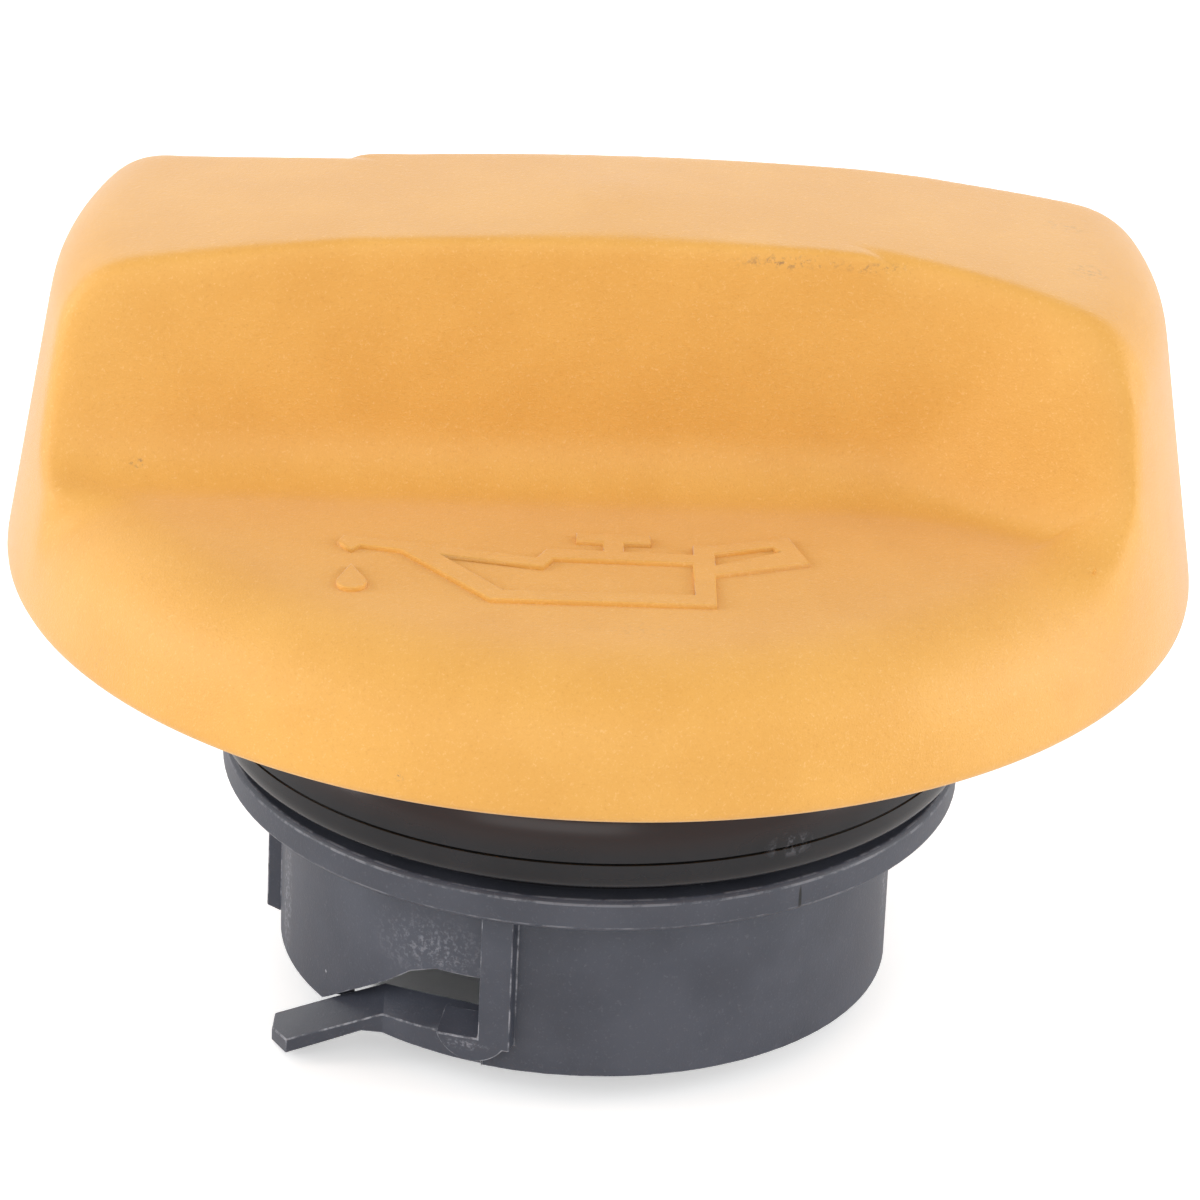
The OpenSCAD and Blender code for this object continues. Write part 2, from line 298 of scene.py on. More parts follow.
# Corners of the solid in the arm's own frame and where they go, in millimetres
BLADE_CORNERS = [
    ((-14.2, -12.1, 0.75), (-14.15, -12.55, 0.75)), ((-14.2, -12.1, 0.0), (-14.2, -12.5, 0.0)),
    ((-13.7, -14.1, 0.94), (-13.7, -14.5, 0.9)), ((-13.7, -14.1, 0.19), (-13.7, -14.5, 0.12)),
    ((-12.23, -16.2, 1.51), (-12.23, -16.6, 1.5)), ((-12.23, -16.2, 0.76), (-12.23, -16.6, 0.64)),
    ((-10.6, -13.05, 2.13), (-10.6, -13.15, 2.75)), ((-7.1, -13.05, 3.475), (-7.5, -13.7, 4.45)),
    ((0.0, -13.05, 3.975), (0.0, -15.4, 5.0)), ((3.0, -13.05, 3.975), (3.0, -15.1, 5.0)),
    ((-2.93, -16.25, 3.77), (-2.93, -16.25, 4.15)), ((-0.9, -16.25, 3.91), (-0.9, -16.25, 4.3))]
CORNER_REACH = 0.06
# The arm's root, where its top meets the cup's bore, and how far it rises, in millimetres
ROOT_FROM_X = -1.0
ROOT_TO_X = 2.9
ROOT_TOP_Z = 3.95
ROOT_RISE = 0.95
CUP_BORE_R = 15.45
BORE_REACH = 0.08
# The top edge behind the rib's foot, and how far it rises, in millimetres
FOOT_BACK_Y = -16.25
FOOT_BACK_REACH = 0.03
FOOT_TOP_Z = 4.38
FOOT_TOP_REACH = 0.05
FOOT_RISE = 0.8
# The guide rib at the left: where its full depth ends in the solid and here, in millimetres
GUIDE_R = 17.85
GUIDE_SIDE_X = -17
GUIDE_FULL_Z = 5.25
GUIDE_FOOT_Z = 2.9
GUIDE_REACH = 0.1


def fit_arm(bm, turn):
    """Moves the corners of one blade, its root and its rib's foot to where the photograph has them."""
    to_arm = Matrix.Rotation(-turn, 4, "Z")
    for vert in bm.verts:
        here = (to_arm @ vert.co) / MM
        for old, new in BLADE_CORNERS:
            if (here - Vector(old)).length < CORNER_REACH:
                vert.co = to_arm.inverted() @ (Vector(new) * MM)
        on_top = ROOT_FROM_X < here.x < ROOT_TO_X and abs(here.z - ROOT_TOP_Z) < CORNER_REACH
        if on_top and abs(math.hypot(here.x, here.y) - CUP_BORE_R) < BORE_REACH:
            vert.co.z += ROOT_RISE * MM
        behind = abs(here.y - FOOT_BACK_Y) < FOOT_BACK_REACH
        if behind and abs(here.z - FOOT_TOP_Z) < FOOT_TOP_REACH:
            vert.co.z += FOOT_RISE * MM


def lengthen_guide(bm):
    """Takes the guide rib's full depth down nearly to the cup's rim."""
    for vert in bm.verts:
        x, y, z = vert.co / MM
        on_rib = abs(math.hypot(x, y) - GUIDE_R) < GUIDE_REACH and x < GUIDE_SIDE_X
        if on_rib and abs(z - GUIDE_FULL_Z) < GUIDE_REACH:
            vert.co.z = GUIDE_FOOT_Z * MM


# Shader building

def add_node(tree, kind, **values):
    """A new node, with its properties and its inputs set by name."""
    node = tree.nodes.new(kind)
    for key, value in values.items():
        if hasattr(node, key):
            setattr(node, key, value)
        else:
            node.inputs[key.replace("_", " ")].default_value = value
    return node


def join(tree, source, target):
    tree.links.new(source, target)


def new_group(name, inputs, outputs):
    """A shader node group with named sockets: inputs as (name, kind, default)."""
    tree = bpy.data.node_groups.new(name, "ShaderNodeTree")
    for label, kind, default in inputs:
        socket = tree.interface.new_socket(label, in_out="INPUT", socket_type=kind)
        if default is not None:
            socket.default_value = default
    for label, kind in outputs:
        tree.interface.new_socket(label, in_out="OUTPUT", socket_type=kind)
    return tree, tree.nodes.new("NodeGroupInput"), tree.nodes.new("NodeGroupOutput")


def math_node(tree, operation, a, b, clamp=False, reach=0.0):
    """A sum on two sockets or numbers; reach is how near COMPARE counts as equal."""
    node = tree.nodes.new("ShaderNodeMath")
    node.inputs[2].default_value = reach
    node.operation = operation
    node.use_clamp = clamp
    for value, socket in zip((a, b), node.inputs):
        if isinstance(value, (int, float)):
            socket.default_value = value
        else:
            join(tree, value, socket)
    return node.outputs[0]


def scaled(tree, value, factor, base):
    """The base, plus the value times the factor."""
    return math_node(tree, "ADD", math_node(tree, "MULTIPLY", value, factor), base)


def ramp(tree, value, low, high):
    """Nought at low, one at high, smooth between; low may be the greater."""
    node = tree.nodes.new("ShaderNodeMapRange")
    node.interpolation_type = "SMOOTHSTEP"
    node.inputs["From Min"].default_value = low
    node.inputs["From Max"].default_value = high
    join(tree, value, node.inputs["Value"])
    return node.outputs["Result"]


def height_of(tree, place):
    """The shaded point's height, in metres."""
    parts = tree.nodes.new("ShaderNodeSeparateXYZ")
    join(tree, place, parts.inputs["Vector"])
    return parts.outputs["Z"]


def mix_colour(tree, factor, a, b):
    """From colour a to colour b by a factor; each is a socket or a triple."""
    node = tree.nodes.new("ShaderNodeMix")
    node.data_type = "RGBA"
    join(tree, factor, node.inputs["Factor"])
    for value, socket in ((a, node.inputs[6]), (b, node.inputs[7])):
        if isinstance(value, tuple):
            socket.default_value = (*value, 1.0)
        else:
            join(tree, value, socket)
    return node.outputs[2]


def lay_over(tree, colour, over, mask, weight):
    """The colour, with another one over it where the mask is, as strong as the weight."""
    return mix_colour(tree, math_node(tree, "MULTIPLY", mask, weight, clamp=True), colour, over)


def moulded_grain():
    """Spark-eroded mould texture: two sizes of grit as a height, and a slow swell as a tone."""
    tree, given, out = new_group(
        "moulded_grain",
        [("Vector", "NodeSocketVector", None), ("Grain Scale", "NodeSocketFloat", 9000.0)],
        [("Height", "NodeSocketFloat"), ("Tone", "NodeSocketFloat")])
    grit = add_node(tree, "ShaderNodeTexNoise", Detail=3.0, Roughness=0.6)
    coarse = add_node(tree, "ShaderNodeTexNoise", Detail=2.0, Roughness=0.5)
    swell = add_node(tree, "ShaderNodeTexNoise", Scale=160.0, Detail=4.0, Roughness=0.55)
    for node in (grit, coarse, swell):
        join(tree, given.outputs["Vector"], node.inputs["Vector"])
    join(tree, given.outputs["Grain Scale"], grit.inputs["Scale"])
    join(tree, math_node(tree, "MULTIPLY", given.outputs["Grain Scale"], 0.4), coarse.inputs["Scale"])
    both = math_node(tree, "ADD", math_node(tree, "MULTIPLY", grit.outputs["Fac"], 0.65),
                     math_node(tree, "MULTIPLY", coarse.outputs["Fac"], 0.35))
    join(tree, both, out.inputs["Height"])
    join(tree, swell.outputs["Fac"], out.inputs["Tone"])
    return tree


def loose_specks():
    """Scattered small dots: the share of cells that hold one is Share."""
    tree, given, out = new_group(
        "loose_specks",
        [("Vector", "NodeSocketVector", None), ("Cells", "NodeSocketFloat", 400.0),
         ("Share", "NodeSocketFloat", 0.1), ("Size", "NodeSocketFloat", 0.12)],
        [("Mask", "NodeSocketFloat")])
    cells = add_node(tree, "ShaderNodeTexVoronoi", feature="F1")
    ragged = add_node(tree, "ShaderNodeTexNoise", Scale=6000.0, Detail=2.0)
    join(tree, given.outputs["Vector"], cells.inputs["Vector"])
    join(tree, given.outputs["Vector"], ragged.inputs["Vector"])
    join(tree, given.outputs["Cells"], cells.inputs["Scale"])
    pick = tree.nodes.new("ShaderNodeSeparateColor")
    join(tree, cells.outputs["Color"], pick.inputs["Color"])
    chosen = math_node(tree, "LESS_THAN", pick.outputs[0], given.outputs["Share"])
    reach = math_node(tree, "MULTIPLY", given.outputs["Size"],
                      math_node(tree, "ADD", pick.outputs[1], 0.25))
    worn = math_node(tree, "MULTIPLY", cells.outputs["Distance"],
                     math_node(tree, "ADD", ragged.outputs["Fac"], 0.5))
    inside = math_node(tree, "LESS_THAN", worn, reach)
    join(tree, math_node(tree, "MULTIPLY", chosen, inside), out.inputs["Mask"])
    return tree


def rubbed_spot():
    """A spot round a place on the surface: Near fades outwards, Mask is Near broken up."""
    tree, given, out = new_group(
        "rubbed_spot",
        [("Vector", "NodeSocketVector", None), ("Place", "NodeSocketVector", (0.0, 0.0, 0.0)),
         ("Reach", "NodeSocketVector", (1.0, 1.0, 1.0)), ("Break Up", "NodeSocketFloat", 2500.0)],
        [("Mask", "NodeSocketFloat"), ("Near", "NodeSocketFloat")])
    away = add_node(tree, "ShaderNodeVectorMath", operation="SUBTRACT")
    join(tree, given.outputs["Vector"], away.inputs[0])
    join(tree, given.outputs["Place"], away.inputs[1])
    shares = add_node(tree, "ShaderNodeVectorMath", operation="DIVIDE")
    join(tree, away.outputs[0], shares.inputs[0])
    join(tree, given.outputs["Reach"], shares.inputs[1])
    length = add_node(tree, "ShaderNodeVectorMath", operation="LENGTH")
    join(tree, shares.outputs[0], length.inputs[0])
    near = math_node(tree, "SUBTRACT", 1.0, length.outputs["Value"], clamp=True)
    join(tree, near, out.inputs["Near"])
    broken = add_node(tree, "ShaderNodeTexNoise", Detail=4.0, Roughness=0.7)
    join(tree, given.outputs["Vector"], broken.inputs["Vector"])
    join(tree, given.outputs["Break Up"], broken.inputs["Scale"])
    join(tree, math_node(tree, "MULTIPLY", near, ramp(tree, broken.outputs["Fac"], 0.48, 0.66)),
         out.inputs["Mask"])
    return tree


GRAIN = moulded_grain()
SPECKS = loose_specks()
SPOT = rubbed_spot()


def new_material(name):
    """A material with its node tree, its Principled shader and its Object coordinates."""
    material = bpy.data.materials.new(name)
    material.use_nodes = True
    tree = material.node_tree
    shader = tree.nodes["Principled BSDF"]
    place = tree.nodes.new("ShaderNodeTexCoord").outputs["Object"]
    return material, tree, shader, place


def use_group(tree, group, place, **values):
    """A node group placed in a material, with its inputs set by name."""
    node = tree.nodes.new("ShaderNodeGroup")
    node.node_tree = group
    join(tree, place, node.inputs["Vector"])
    for key, value in values.items():
        node.inputs[key.replace("_", " ")].default_value = value
    return node


def spot_at(tree, place, where, reach, break_up=2500.0):
    """A rubbed spot, with its place and its reach along each axis in millimetres."""
    return use_group(tree, SPOT, place, Place=[v * MM for v in where],
                     Reach=[v * MM for v in reach], Break_Up=break_up)


def bump(tree, shader, height, depth, strength):
    """Relief from a height, with its depth in metres."""
    node = add_node(tree, "ShaderNodeBump", Strength=strength, Distance=depth)
    join(tree, height, node.inputs["Height"])
    join(tree, node.outputs["Normal"], shader.inputs["Normal"])


# The knob's colours; these and the ones below are linear
KNOB_ORANGE = (0.705, 0.345, 0.058)
KNOB_AMBER = (0.735, 0.370, 0.068)
# Painted glints on the grain's peaks and painted shade in its pits
PAINTED_GRAIN_GLINT = (0.95, 0.62, 0.28)
PAINTED_GRAIN_SHADE = (0.52, 0.21, 0.02)
BROWN_SPECK = (0.30, 0.14, 0.05)
RUBBED_BROWN = (0.24, 0.14, 0.07)
KNOB_SHEEN = (1.0, 0.92, 0.88)
# Rubbed places on the knob: where and how far they reach, in millimetres, and how strong they are
KNOB_MARKS = [
    ((9.2, -6.4, 46.2), (3.6, 0.8, 0.5), 0.9), ((14.0, -6.6, 46.0), (2.6, 0.8, 0.35), 0.9),
    ((25.6, -4.2, 45.3), (1.4, 1.2, 0.8), 0.7), ((24.6, 1.5, 45.5), (1.6, 0.8, 0.8), 0.5),
    ((-26.9, -18.0, 27.5), (1.2, 1.2, 1.0), 0.35), ((1.3, -25.2, 33.2), (3.0, 1.2, 1.0), 0.25),
    ((-10.9, -30.5, 27.1), (0.35, 0.35, 0.35), 1.6), ((-25.3, -8.0, 34.2), (0.5, 0.4, 0.4), 1.6)]


def knob_plastic():
    """Yellow-orange grained moulding with painted glints on its grain's peaks and painted shade in its
    pits, a few dark specks and rubbed smudges.
    """
    material, tree, shader, place = new_material("knob_plastic")
    grain = use_group(tree, GRAIN, place, Grain_Scale=9000.0)
    specks = use_group(tree, SPECKS, place, Cells=420.0, Share=0.05, Size=0.05)
    relief = grain.outputs["Height"]
    tone = ramp(tree, grain.outputs["Tone"], 0.35, 0.65)
    colour = mix_colour(tree, tone, KNOB_ORANGE, KNOB_AMBER)
    # Painted glints on the grain's peaks, painted shade in its pits
    colour = lay_over(tree, colour, PAINTED_GRAIN_GLINT, ramp(tree, relief, 0.54, 0.70), 0.30)
    colour = lay_over(tree, colour, PAINTED_GRAIN_SHADE, ramp(tree, relief, 0.46, 0.32), 0.22)
    colour = lay_over(tree, colour, BROWN_SPECK, specks.outputs["Mask"], 0.6)
    for where, reach, weight in KNOB_MARKS:
        smudge = spot_at(tree, place, where, reach)
        colour = lay_over(tree, colour, RUBBED_BROWN, smudge.outputs["Mask"], weight)
    join(tree, colour, shader.inputs["Base Color"])
    join(tree, scaled(tree, relief, 0.3, 0.32), shader.inputs["Roughness"])
    shader.inputs["Sheen Weight"].default_value = 0.45
    shader.inputs["Sheen Roughness"].default_value = 0.4
    shader.inputs["Sheen Tint"].default_value = (*KNOB_SHEEN, 1.0)
    bump(tree, shader, relief, 0.00008, 0.6)
    return material


PLUG_BLACK = (0.044, 0.048, 0.064)
PLUG_SLATE = (0.062, 0.067, 0.087)
PLUG_GRIT = (0.135, 0.140, 0.165)
PLUG_PIT = (0.018, 0.018, 0.02)
DUST_SPECK = (0.45, 0.45, 0.48)
# Grey of the dust and of the painted light and reflection
DUST_AND_LIGHT_GREY = (0.36, 0.36, 0.40)
# Black of the painted shade in the flange's step and gap
GAP_SHADOW_BLACK = (0.006, 0.006, 0.007)
# Grey of the pale burrs and painted edge highlights
BURR_AND_HIGHLIGHT_GREY = (0.36, 0.36, 0.39)
# How far below the flange's underside the pale edges, burrs with painted edge highlights, start to be
# paler and are palest, in millimetres
EDGE_PALER_FROM = 0.1
EDGE_PALEST_AT = 0.6
# Paler places on the plug, given like the knob's marks: dust above the window, then a strip of painted
# reflection down the cup's left side, a patch of painted light on the front arm's shaded blade, and a
# strip of painted reflection down the right side
DUST_AND_LIGHT_PLACES = [
    ((-8.8, -14.6, 8.6), (5.0, 3.6, 2.4), 0.4), ((-16.7, -3.4, 6.0), (0.5, 1.6, 4.5), 1.0),
    ((-6.6, -16.2, 3.9), (1.8, 1.4, 0.4), 0.8), ((16.6, -3.9, 8.0), (0.5, 1.4, 4.5), 0.8)]
PATCH_BREAK_UP = 3600.0
# Painted shade on the flange: a dark line for the shade in the mould's step, and dark bands for the
# shadow gap under the flange's lower edge: where and how far they reach, in millimetres
PAINTED_GAP_SHADOWS = [
    ((10.96, -17.3, 13.6), (0.12, 0.12, 1.0)), ((10.0, -17.9, 12.55), (2.6, 1.7, 0.16)),
    ((7.6, -19.0, 12.5), (1.3, 0.8, 0.14)), ((-5.4, -17.9, 12.3), (0.75, 0.6, 0.18))]
GAP_SHADOW_WEIGHT = 3.0


def plug_plastic():
    """Black glass-filled nylon: bluish dark grey with dust, pale burrs and painted edge highlights
    along its edges, painted reflection down its sides, painted light on an arm, and painted shade in
    the flange's step and under its edge.
    """
    material, tree, shader, place = new_material("plug_plastic")
    grain = use_group(tree, GRAIN, place, Grain_Scale=7500.0)
    dust = use_group(tree, SPECKS, place, Cells=900.0, Share=0.09, Size=0.07)
    pits = use_group(tree, SPECKS, place, Cells=700.0, Share=0.05, Size=0.08)
    relief = grain.outputs["Height"]
    tone = ramp(tree, grain.outputs["Tone"], 0.35, 0.7)
    colour = mix_colour(tree, tone, PLUG_BLACK, PLUG_SLATE)
    colour = lay_over(tree, colour, PLUG_GRIT, ramp(tree, relief, 0.54, 0.72), 0.35)
    colour = lay_over(tree, colour, PLUG_PIT, pits.outputs["Mask"], 0.7)
    colour = lay_over(tree, colour, DUST_SPECK, dust.outputs["Mask"], 0.6)
    # Dust, painted light and painted reflection, laid over the colour
    for where, reach, weight in DUST_AND_LIGHT_PLACES:
        dust_and_light = spot_at(tree, place, where, reach, PATCH_BREAK_UP)
        colour = lay_over(tree, colour, DUST_AND_LIGHT_GREY, dust_and_light.outputs["Mask"], weight)
    # Painted shade: the mould's step on the flange and the shadow gap under its edge, drawn black
    for where, reach in PAINTED_GAP_SHADOWS:
        gap_shadow = spot_at(tree, place, where, reach)
        colour = lay_over(tree, colour, GAP_SHADOW_BLACK, gap_shadow.outputs["Near"], GAP_SHADOW_WEIGHT)
    # Pale burrs and painted edge highlights on the bevels, paler below the flange's underside
    edge = add_node(tree, "ShaderNodeAttribute", attribute_name="edge")
    broken = add_node(tree, "ShaderNodeTexNoise", Scale=700.0, Detail=5.0, Roughness=0.7)
    join(tree, place, broken.inputs["Vector"])
    burr_and_highlight = math_node(tree, "MULTIPLY", edge.outputs["Fac"],
                     ramp(tree, broken.outputs["Fac"], 0.42, 0.60))
    under = ramp(tree, height_of(tree, place), (FLANGE_Z - EDGE_PALER_FROM) * MM,
                 (FLANGE_Z - EDGE_PALEST_AT) * MM)
    colour = lay_over(tree, colour, BURR_AND_HIGHLIGHT_GREY, burr_and_highlight, scaled(tree, under, 0.4, 0.28))
    join(tree, colour, shader.inputs["Base Color"])
    join(tree, scaled(tree, grain.outputs["Tone"], 0.2, 0.34), shader.inputs["Roughness"])
    bump(tree, shader, relief, 0.00004, 0.5)
    return material


RUBBER_BLACK = (0.007, 0.0065, 0.008)
RUBBER_GREY = (0.012, 0.011, 0.013)
# Brown of the knob's painted reflection
KNOB_REFLECTION_BROWN = (0.020, 0.009, 0.007)
# Black of the painted shade in the parting line's groove
PARTING_SHADE_BLACK = (0.003, 0.003, 0.003)
RUBBER_DUST = (0.4, 0.4, 0.42)
WIPED_GREY = (0.25, 0.25, 0.28)
# Heights over the seat, in millimetres: the parting line, painted black as the shade in its groove,
# and where the rubber turns brown with the knob's painted reflection
PARTING_H = 2.5
PARTING_REACH = 0.07
REFLECTION_FROM_H = 2.6
REFLECTION_FULL_H = 4.2
# A wiped spot on the lip, given like the knob's marks
WIPED_PLACE = (10.2, -18.4, 17.5)
WIPED_REACH = (1.8, 1.4, 0.8)
WIPED_BREAK_UP = 1800.0


def seal_rubber():
    """Smooth black rubber with a slight gloss, the knob's orange reflection painted brown on its top
    part, its parting line painted black as the shade in its groove, and specks of dust.
    """
    material, tree, shader, place = new_material("seal_rubber")
    grain = use_group(tree, GRAIN, place, Grain_Scale=2400.0)
    dust = use_group(tree, SPECKS, place, Cells=800.0, Share=0.06, Size=0.07)
    wiped = spot_at(tree, place, WIPED_PLACE, WIPED_REACH, WIPED_BREAK_UP)
    height = height_of(tree, place)
    tone = ramp(tree, grain.outputs["Tone"], 0.4, 0.65)
    colour = mix_colour(tree, tone, RUBBER_BLACK, RUBBER_GREY)
    # The knob's orange reflection, painted brown over the rubber's top
    knob_reflection = ramp(tree, height, (SEAT_Z + REFLECTION_FROM_H) * MM, (SEAT_Z + REFLECTION_FULL_H) * MM)
    colour = mix_colour(tree, knob_reflection, colour, KNOB_REFLECTION_BROWN)
    # The parting line's groove, painted black as its shade
    line = math_node(tree, "COMPARE", height, (SEAT_Z + PARTING_H) * MM, reach=PARTING_REACH * MM)
    colour = mix_colour(tree, line, colour, PARTING_SHADE_BLACK)
    colour = lay_over(tree, colour, RUBBER_DUST, dust.outputs["Mask"], 0.5)
    colour = lay_over(tree, colour, WIPED_GREY, wiped.outputs["Mask"], 0.5)
    join(tree, colour, shader.inputs["Base Color"])
    join(tree, scaled(tree, grain.outputs["Tone"], 0.12, 0.16), shader.inputs["Roughness"])
    shader.inputs["Specular IOR Level"].default_value = 0.36
    bump(tree, shader, grain.outputs["Height"], 0.00001, 0.2)
    return material


# Pieces

def dress_knob(plastic):
    """The moulded shell with its edges rounded as the mould leaves them."""
    piece = new_object("knob_shell", eased_knob("knob_shell"))
    return finish_piece(piece, plastic, "knob_plastic", "knob")


def dress_plug(plastic):
    """The plug with its arms and guide fitted to the photograph and its edges broken."""
    bm = welded_copy("plug")
    for turn in ARM_TURNS:
        fit_arm(bm, turn)
    lengthen_guide(bm)
    piece = new_object("bayonet_plug", crisp_edged("bayonet_plug", bm))
    weighted = piece.modifiers.new("weighted_normals", "WEIGHTED_NORMAL")
    weighted.keep_sharp = True
    weighted.weight = NORMAL_WEIGHT
    return finish_piece(piece, plastic, "plug_plastic", "plug")


# The lip seal's section, in millimetres: depths are in from its outside, heights over its seat
SEAL_DEPTH = 3.45
GROOVE_DEPTH = 2.1
GROOVE_H = 0.75
# The lip: its foot by the groove, then a quarter round in steps, from this many degrees up to level
LIP_FOOT_DEPTH = 0.65
LIP_FOOT_H = 0.95
LIP_R = 0.5
LIP_RISE = 0.95
LIP_MIDDLE_H = 1.9
LIP_FROM = -80
LIP_STEPS = 6
# The parting line's groove, as depths and heights
PARTING_GROOVE = [(0.02, 2.45), (0.12, 2.52), (0.04, 2.59)]
# The flank over it: its inner depth, its width, the power of its curve, its foot and its steps
FLANK_DEPTH = 2.05
FLANK_OUT = 2.0
FLANK_POWER = 0.9
FLANK_H = 2.6
FLANK_STEPS = 9
SEAL_ROUND_STEPS = 240
SEAL_SHARP_FROM = 35


def seal_profile():
    """Section of the lip seal as (radius, height over its seat), in millimetres."""
    in_r = SEAL_R - SEAL_DEPTH
    groove_r = SEAL_R - GROOVE_DEPTH
    points = [(in_r, 0.0), (groove_r, 0.0), (groove_r, GROOVE_H),
              (SEAL_R - LIP_FOOT_DEPTH, LIP_FOOT_H)]
    for step in range(LIP_STEPS + 1):
        turn = math.radians(LIP_FROM - LIP_FROM * step / LIP_STEPS)
        points.append((SEAL_R - LIP_R + LIP_R * math.cos(turn),
                       LIP_MIDDLE_H + LIP_RISE * math.sin(turn)))
    points += [(SEAL_R - depth, height) for depth, height in PARTING_GROOVE]
    for step in range(1, FLANK_STEPS + 1):
        turn = math.radians(90 * step / FLANK_STEPS)
        points.append((SEAL_R - FLANK_DEPTH + FLANK_OUT * math.cos(turn) ** FLANK_POWER,
                       FLANK_H + (SEAL_HEIGHT - FLANK_H) * math.sin(turn)))
    points.append((in_r, SEAL_HEIGHT))
    return points


def dress_seal(rubber):
    """The lip seal, its section spun round the axis."""
    bm = bmesh.new()
    rim = [bm.verts.new((r * MM, 0.0, SEAT_Z * MM + h * MM)) for r, h in seal_profile()]
    loop = [bm.edges.new(pair) for pair in zip(rim, rim[1:] + rim[:1])]
    bmesh.ops.spin(bm, geom=rim + loop, cent=(0, 0, 0), axis=(0, 0, 1), dvec=(0, 0, 0),
                   angle=2 * math.pi, steps=SEAL_ROUND_STEPS, use_merge=True,
                   use_duplicate=False)
    bmesh.ops.remove_doubles(bm, verts=bm.verts, dist=SAME_POINT)
    bmesh.ops.recalc_face_normals(bm, faces=bm.faces)
    shade_smooth(bm, SEAL_SHARP_FROM)
    piece = new_object("lip_seal", mesh_from(bm, "lip_seal"))
    return finish_piece(piece, rubber, "seal_rubber", "seal_ring")


# The oil-can sign, as outlines in plan on the front finger floor, in millimetres
CAN_OUTLINE = [
    (-14.45, -15.8), (-13.7, -16.75), (-13.25, -16.15), (-11.1, -16.65), (-6.45, -22.4), (5.4, -22.5),
    (5.45, -18.75), (10.5, -17.0), (9.5, -13.9), (5.45, -15.2), (4.35, -15.2), (4.35, -16.35),
    (0.7, -16.2), (0.7, -15.1), (2.15, -15.15), (2.15, -14.15), (-1.8, -14.0), (-1.8, -15.0),
    (-0.4, -15.05), (-0.4, -16.15), (-3.4, -16.1), (-3.95, -17.2), (-9.6, -15.9), (-14.1, -15.05)]
BODY_HOLE = [(-9.0, -17.1), (-3.6, -18.3), (-3.05, -17.2), (4.3, -17.4), (4.3, -21.3), (-5.75, -21.3)]
HANDLE_HOLE = [(5.5, -16.2), (8.6, -15.1), (9.0, -15.75), (5.5, -17.6)]
# How far the sign stands up before its edges are rounded, and how far they are rounded
SIGN_RISE = 0.2
SIGN_ROUND = 0.07
# The drop: its point, and its round foot from and over so many degrees
DROP_TIP = Vector((-13.7, -18.5))
DROP_MIDDLE = Vector((-13.65, -20.7))
DROP_R = 0.82
DROP_FROM = 155
DROP_SWEEP = 230
DROP_STEPS = 12


def oil_drop():
    """A drop: a pointed top and a round foot."""
    points = [tuple(DROP_TIP)]
    for step in range(DROP_STEPS + 1):
        turn = math.radians(DROP_FROM + DROP_SWEEP * step / DROP_STEPS)
        points.append((DROP_MIDDLE.x + DROP_R * math.cos(turn),
                       DROP_MIDDLE.y + DROP_R * math.sin(turn)))
    return points


def raised_sign(plastic):
    """The oil can and its drop, raised on the finger floor with rounded edges."""
    curve = bpy.data.curves.new("oil_can_sign", "CURVE")
    curve.dimensions = "2D"
    curve.fill_mode = "BOTH"
    for outline in (CAN_OUTLINE, BODY_HOLE, HANDLE_HOLE, oil_drop()):
        spline = curve.splines.new("POLY")
        spline.points.add(len(outline) - 1)
        spline.use_cyclic_u = True
        for point, (x, y) in zip(spline.points, outline):
            point.co = (x * MM, y * MM, 0.0, 1.0)
    curve.extrude = SIGN_RISE * MM
    curve.offset = -SIGN_ROUND * MM
    curve.bevel_depth = SIGN_ROUND * MM
    curve.bevel_resolution = 1
    flat = new_object("sign_outline", curve)
    graph = bpy.context.evaluated_depsgraph_get()
    mesh = bpy.data.meshes.new_from_object(flat.evaluated_get(graph))
    bpy.data.objects.remove(flat)
    bm = bmesh.new()
    bm.from_mesh(mesh)
    bmesh.ops.remove_doubles(bm, verts=bm.verts, dist=SAME_POINT)
    bmesh.ops.translate(bm, verts=bm.verts, vec=(0.0, 0.0, FINGER_FLOOR_Z * MM))
    bmesh.ops.recalc_face_normals(bm, faces=bm.faces)
    piece = new_object("oil_can_sign", mesh_from(bm, "oil_can_sign"))
    return finish_piece(piece, plastic, "knob_plastic")


# Light and floor

# Softboxes as name, place and size in metres, and power in watts, and the point that they face
SOFTBOXES = [
    ("front_softbox", (-0.12, -0.55, 0.30), (0.5, 0.4), 0.9),
    ("back_softbox", (0.0, 0.6, 0.36), (0.9, 0.3), 0.6),
    ("left_softbox", (-0.5, -0.05, 0.12), (0.25, 0.4), 1.3),
    ("right_softbox", (0.5, -0.05, 0.12), (0.25, 0.4), 1.3)]
LIT_POINT = Vector((0.0, 0.0, 0.025))
# The world's strength as light, and how much is added where it is seen or mirrored
WORLD_LIGHT = 0.85
WORLD_SEEN = 0.15
# The floor's half width, and its gap under the plug, in metres
FLOOR_HALF = 6.0
FLOOR_GAP = 0.00002
# The floor's glow to the camera, and the radii in metres between which it sets in, so that the
# floor seen through the window over the arm stays dark
FLOOR_GLOW = 0.45
GLOW_FROM_R = 0.0116
GLOW_FULL_R = 0.0125
FLOOR_PALE = (0.93, 0.93, 0.93)
FLOOR_WHITE = (0.95, 0.95, 0.95)
PURE_WHITE = (1.0, 1.0, 1.0, 1.0)


def softbox(name, place, size, power):
    """A rectangular lamp aimed at the cap."""
    data = bpy.data.lights.new(name, "AREA")
    data.shape = "RECTANGLE"
    data.size, data.size_y = size
    data.energy = power
    lamp = new_object(name, data)
    lamp.matrix_world = looking_at(Vector(place), LIT_POINT)


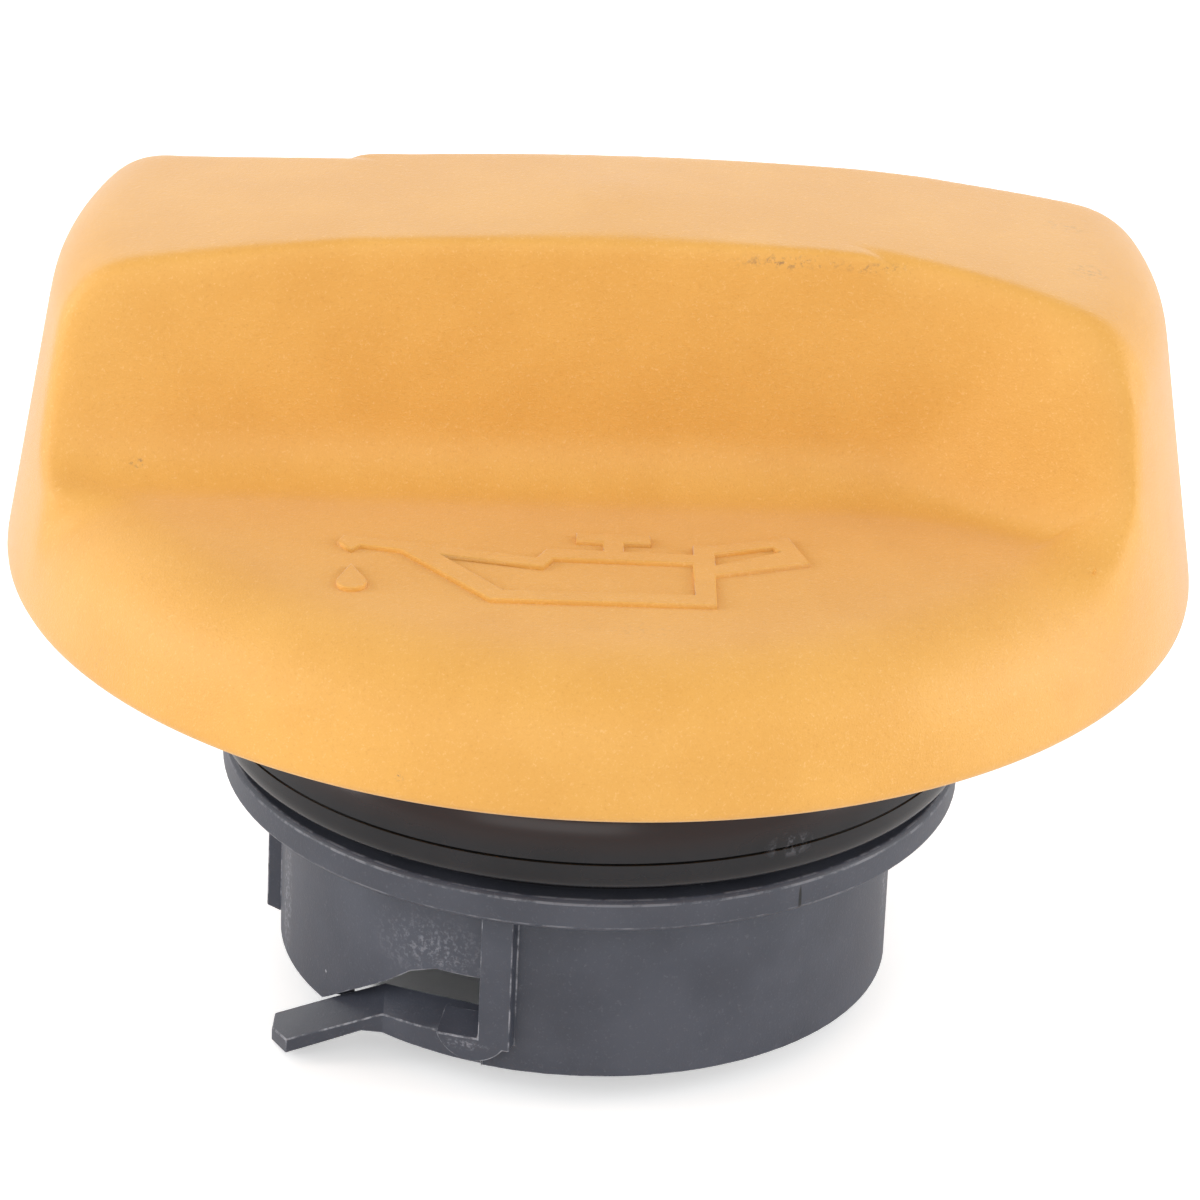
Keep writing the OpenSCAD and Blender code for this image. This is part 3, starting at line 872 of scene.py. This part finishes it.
def studio():
    """A white world that is a little stronger where it is seen, and four softboxes."""
    world = bpy.data.worlds.new("studio")
    bpy.context.scene.world = world
    world.use_nodes = True
    tree = world.node_tree
    sky = tree.nodes["Background"]
    sky.inputs["Color"].default_value = PURE_WHITE
    path = tree.nodes.new("ShaderNodeLightPath")
    seen = math_node(tree, "MAXIMUM", path.outputs["Is Camera Ray"], path.outputs["Is Glossy Ray"])
    seen = math_node(tree, "MAXIMUM", seen, path.outputs["Is Transmission Ray"])
    join(tree, scaled(tree, seen, WORLD_SEEN, WORLD_LIGHT), sky.inputs["Strength"])
    for name, place, size, power in SOFTBOXES:
        softbox(name, place, size, power)


def pale_floor():
    """A white paper floor, which glows a little to the camera except under the cap."""
    bm = bmesh.new()
    bmesh.ops.create_grid(bm, x_segments=1, y_segments=1, size=FLOOR_HALF)
    bmesh.ops.translate(bm, verts=bm.verts, vec=(0.0, 0.0, plug_low.z - FLOOR_GAP))
    floor = new_object("floor", mesh_from(bm, "floor"))
    material, tree, shader, place = new_material("floor_paper")
    paper = add_node(tree, "ShaderNodeTexNoise", Scale=40.0, Detail=2.0)
    join(tree, place, paper.inputs["Vector"])
    colour = mix_colour(tree, paper.outputs["Fac"], FLOOR_PALE, FLOOR_WHITE)
    join(tree, colour, shader.inputs["Base Color"])
    shader.inputs["Roughness"].default_value = 0.9
    shader.inputs["Specular IOR Level"].default_value = 0.1
    shader.inputs["Emission Color"].default_value = PURE_WHITE
    path = tree.nodes.new("ShaderNodeLightPath")
    out = add_node(tree, "ShaderNodeVectorMath", operation="LENGTH")
    join(tree, place, out.inputs[0])
    open_floor = ramp(tree, out.outputs["Value"], GLOW_FROM_R, GLOW_FULL_R)
    glow = math_node(tree, "MULTIPLY", path.outputs["Is Camera Ray"], FLOOR_GLOW)
    join(tree, math_node(tree, "MULTIPLY", glow, open_floor), shader.inputs["Emission Strength"])
    floor.data.materials.append(material)


aim_camera()
pale_floor()
studio()
orange = knob_plastic()
dress_knob(orange)
raised_sign(orange)
dress_plug(plug_plastic())
dress_seal(seal_rubber())
bpy.context.scene.view_settings.view_transform = "Standard"
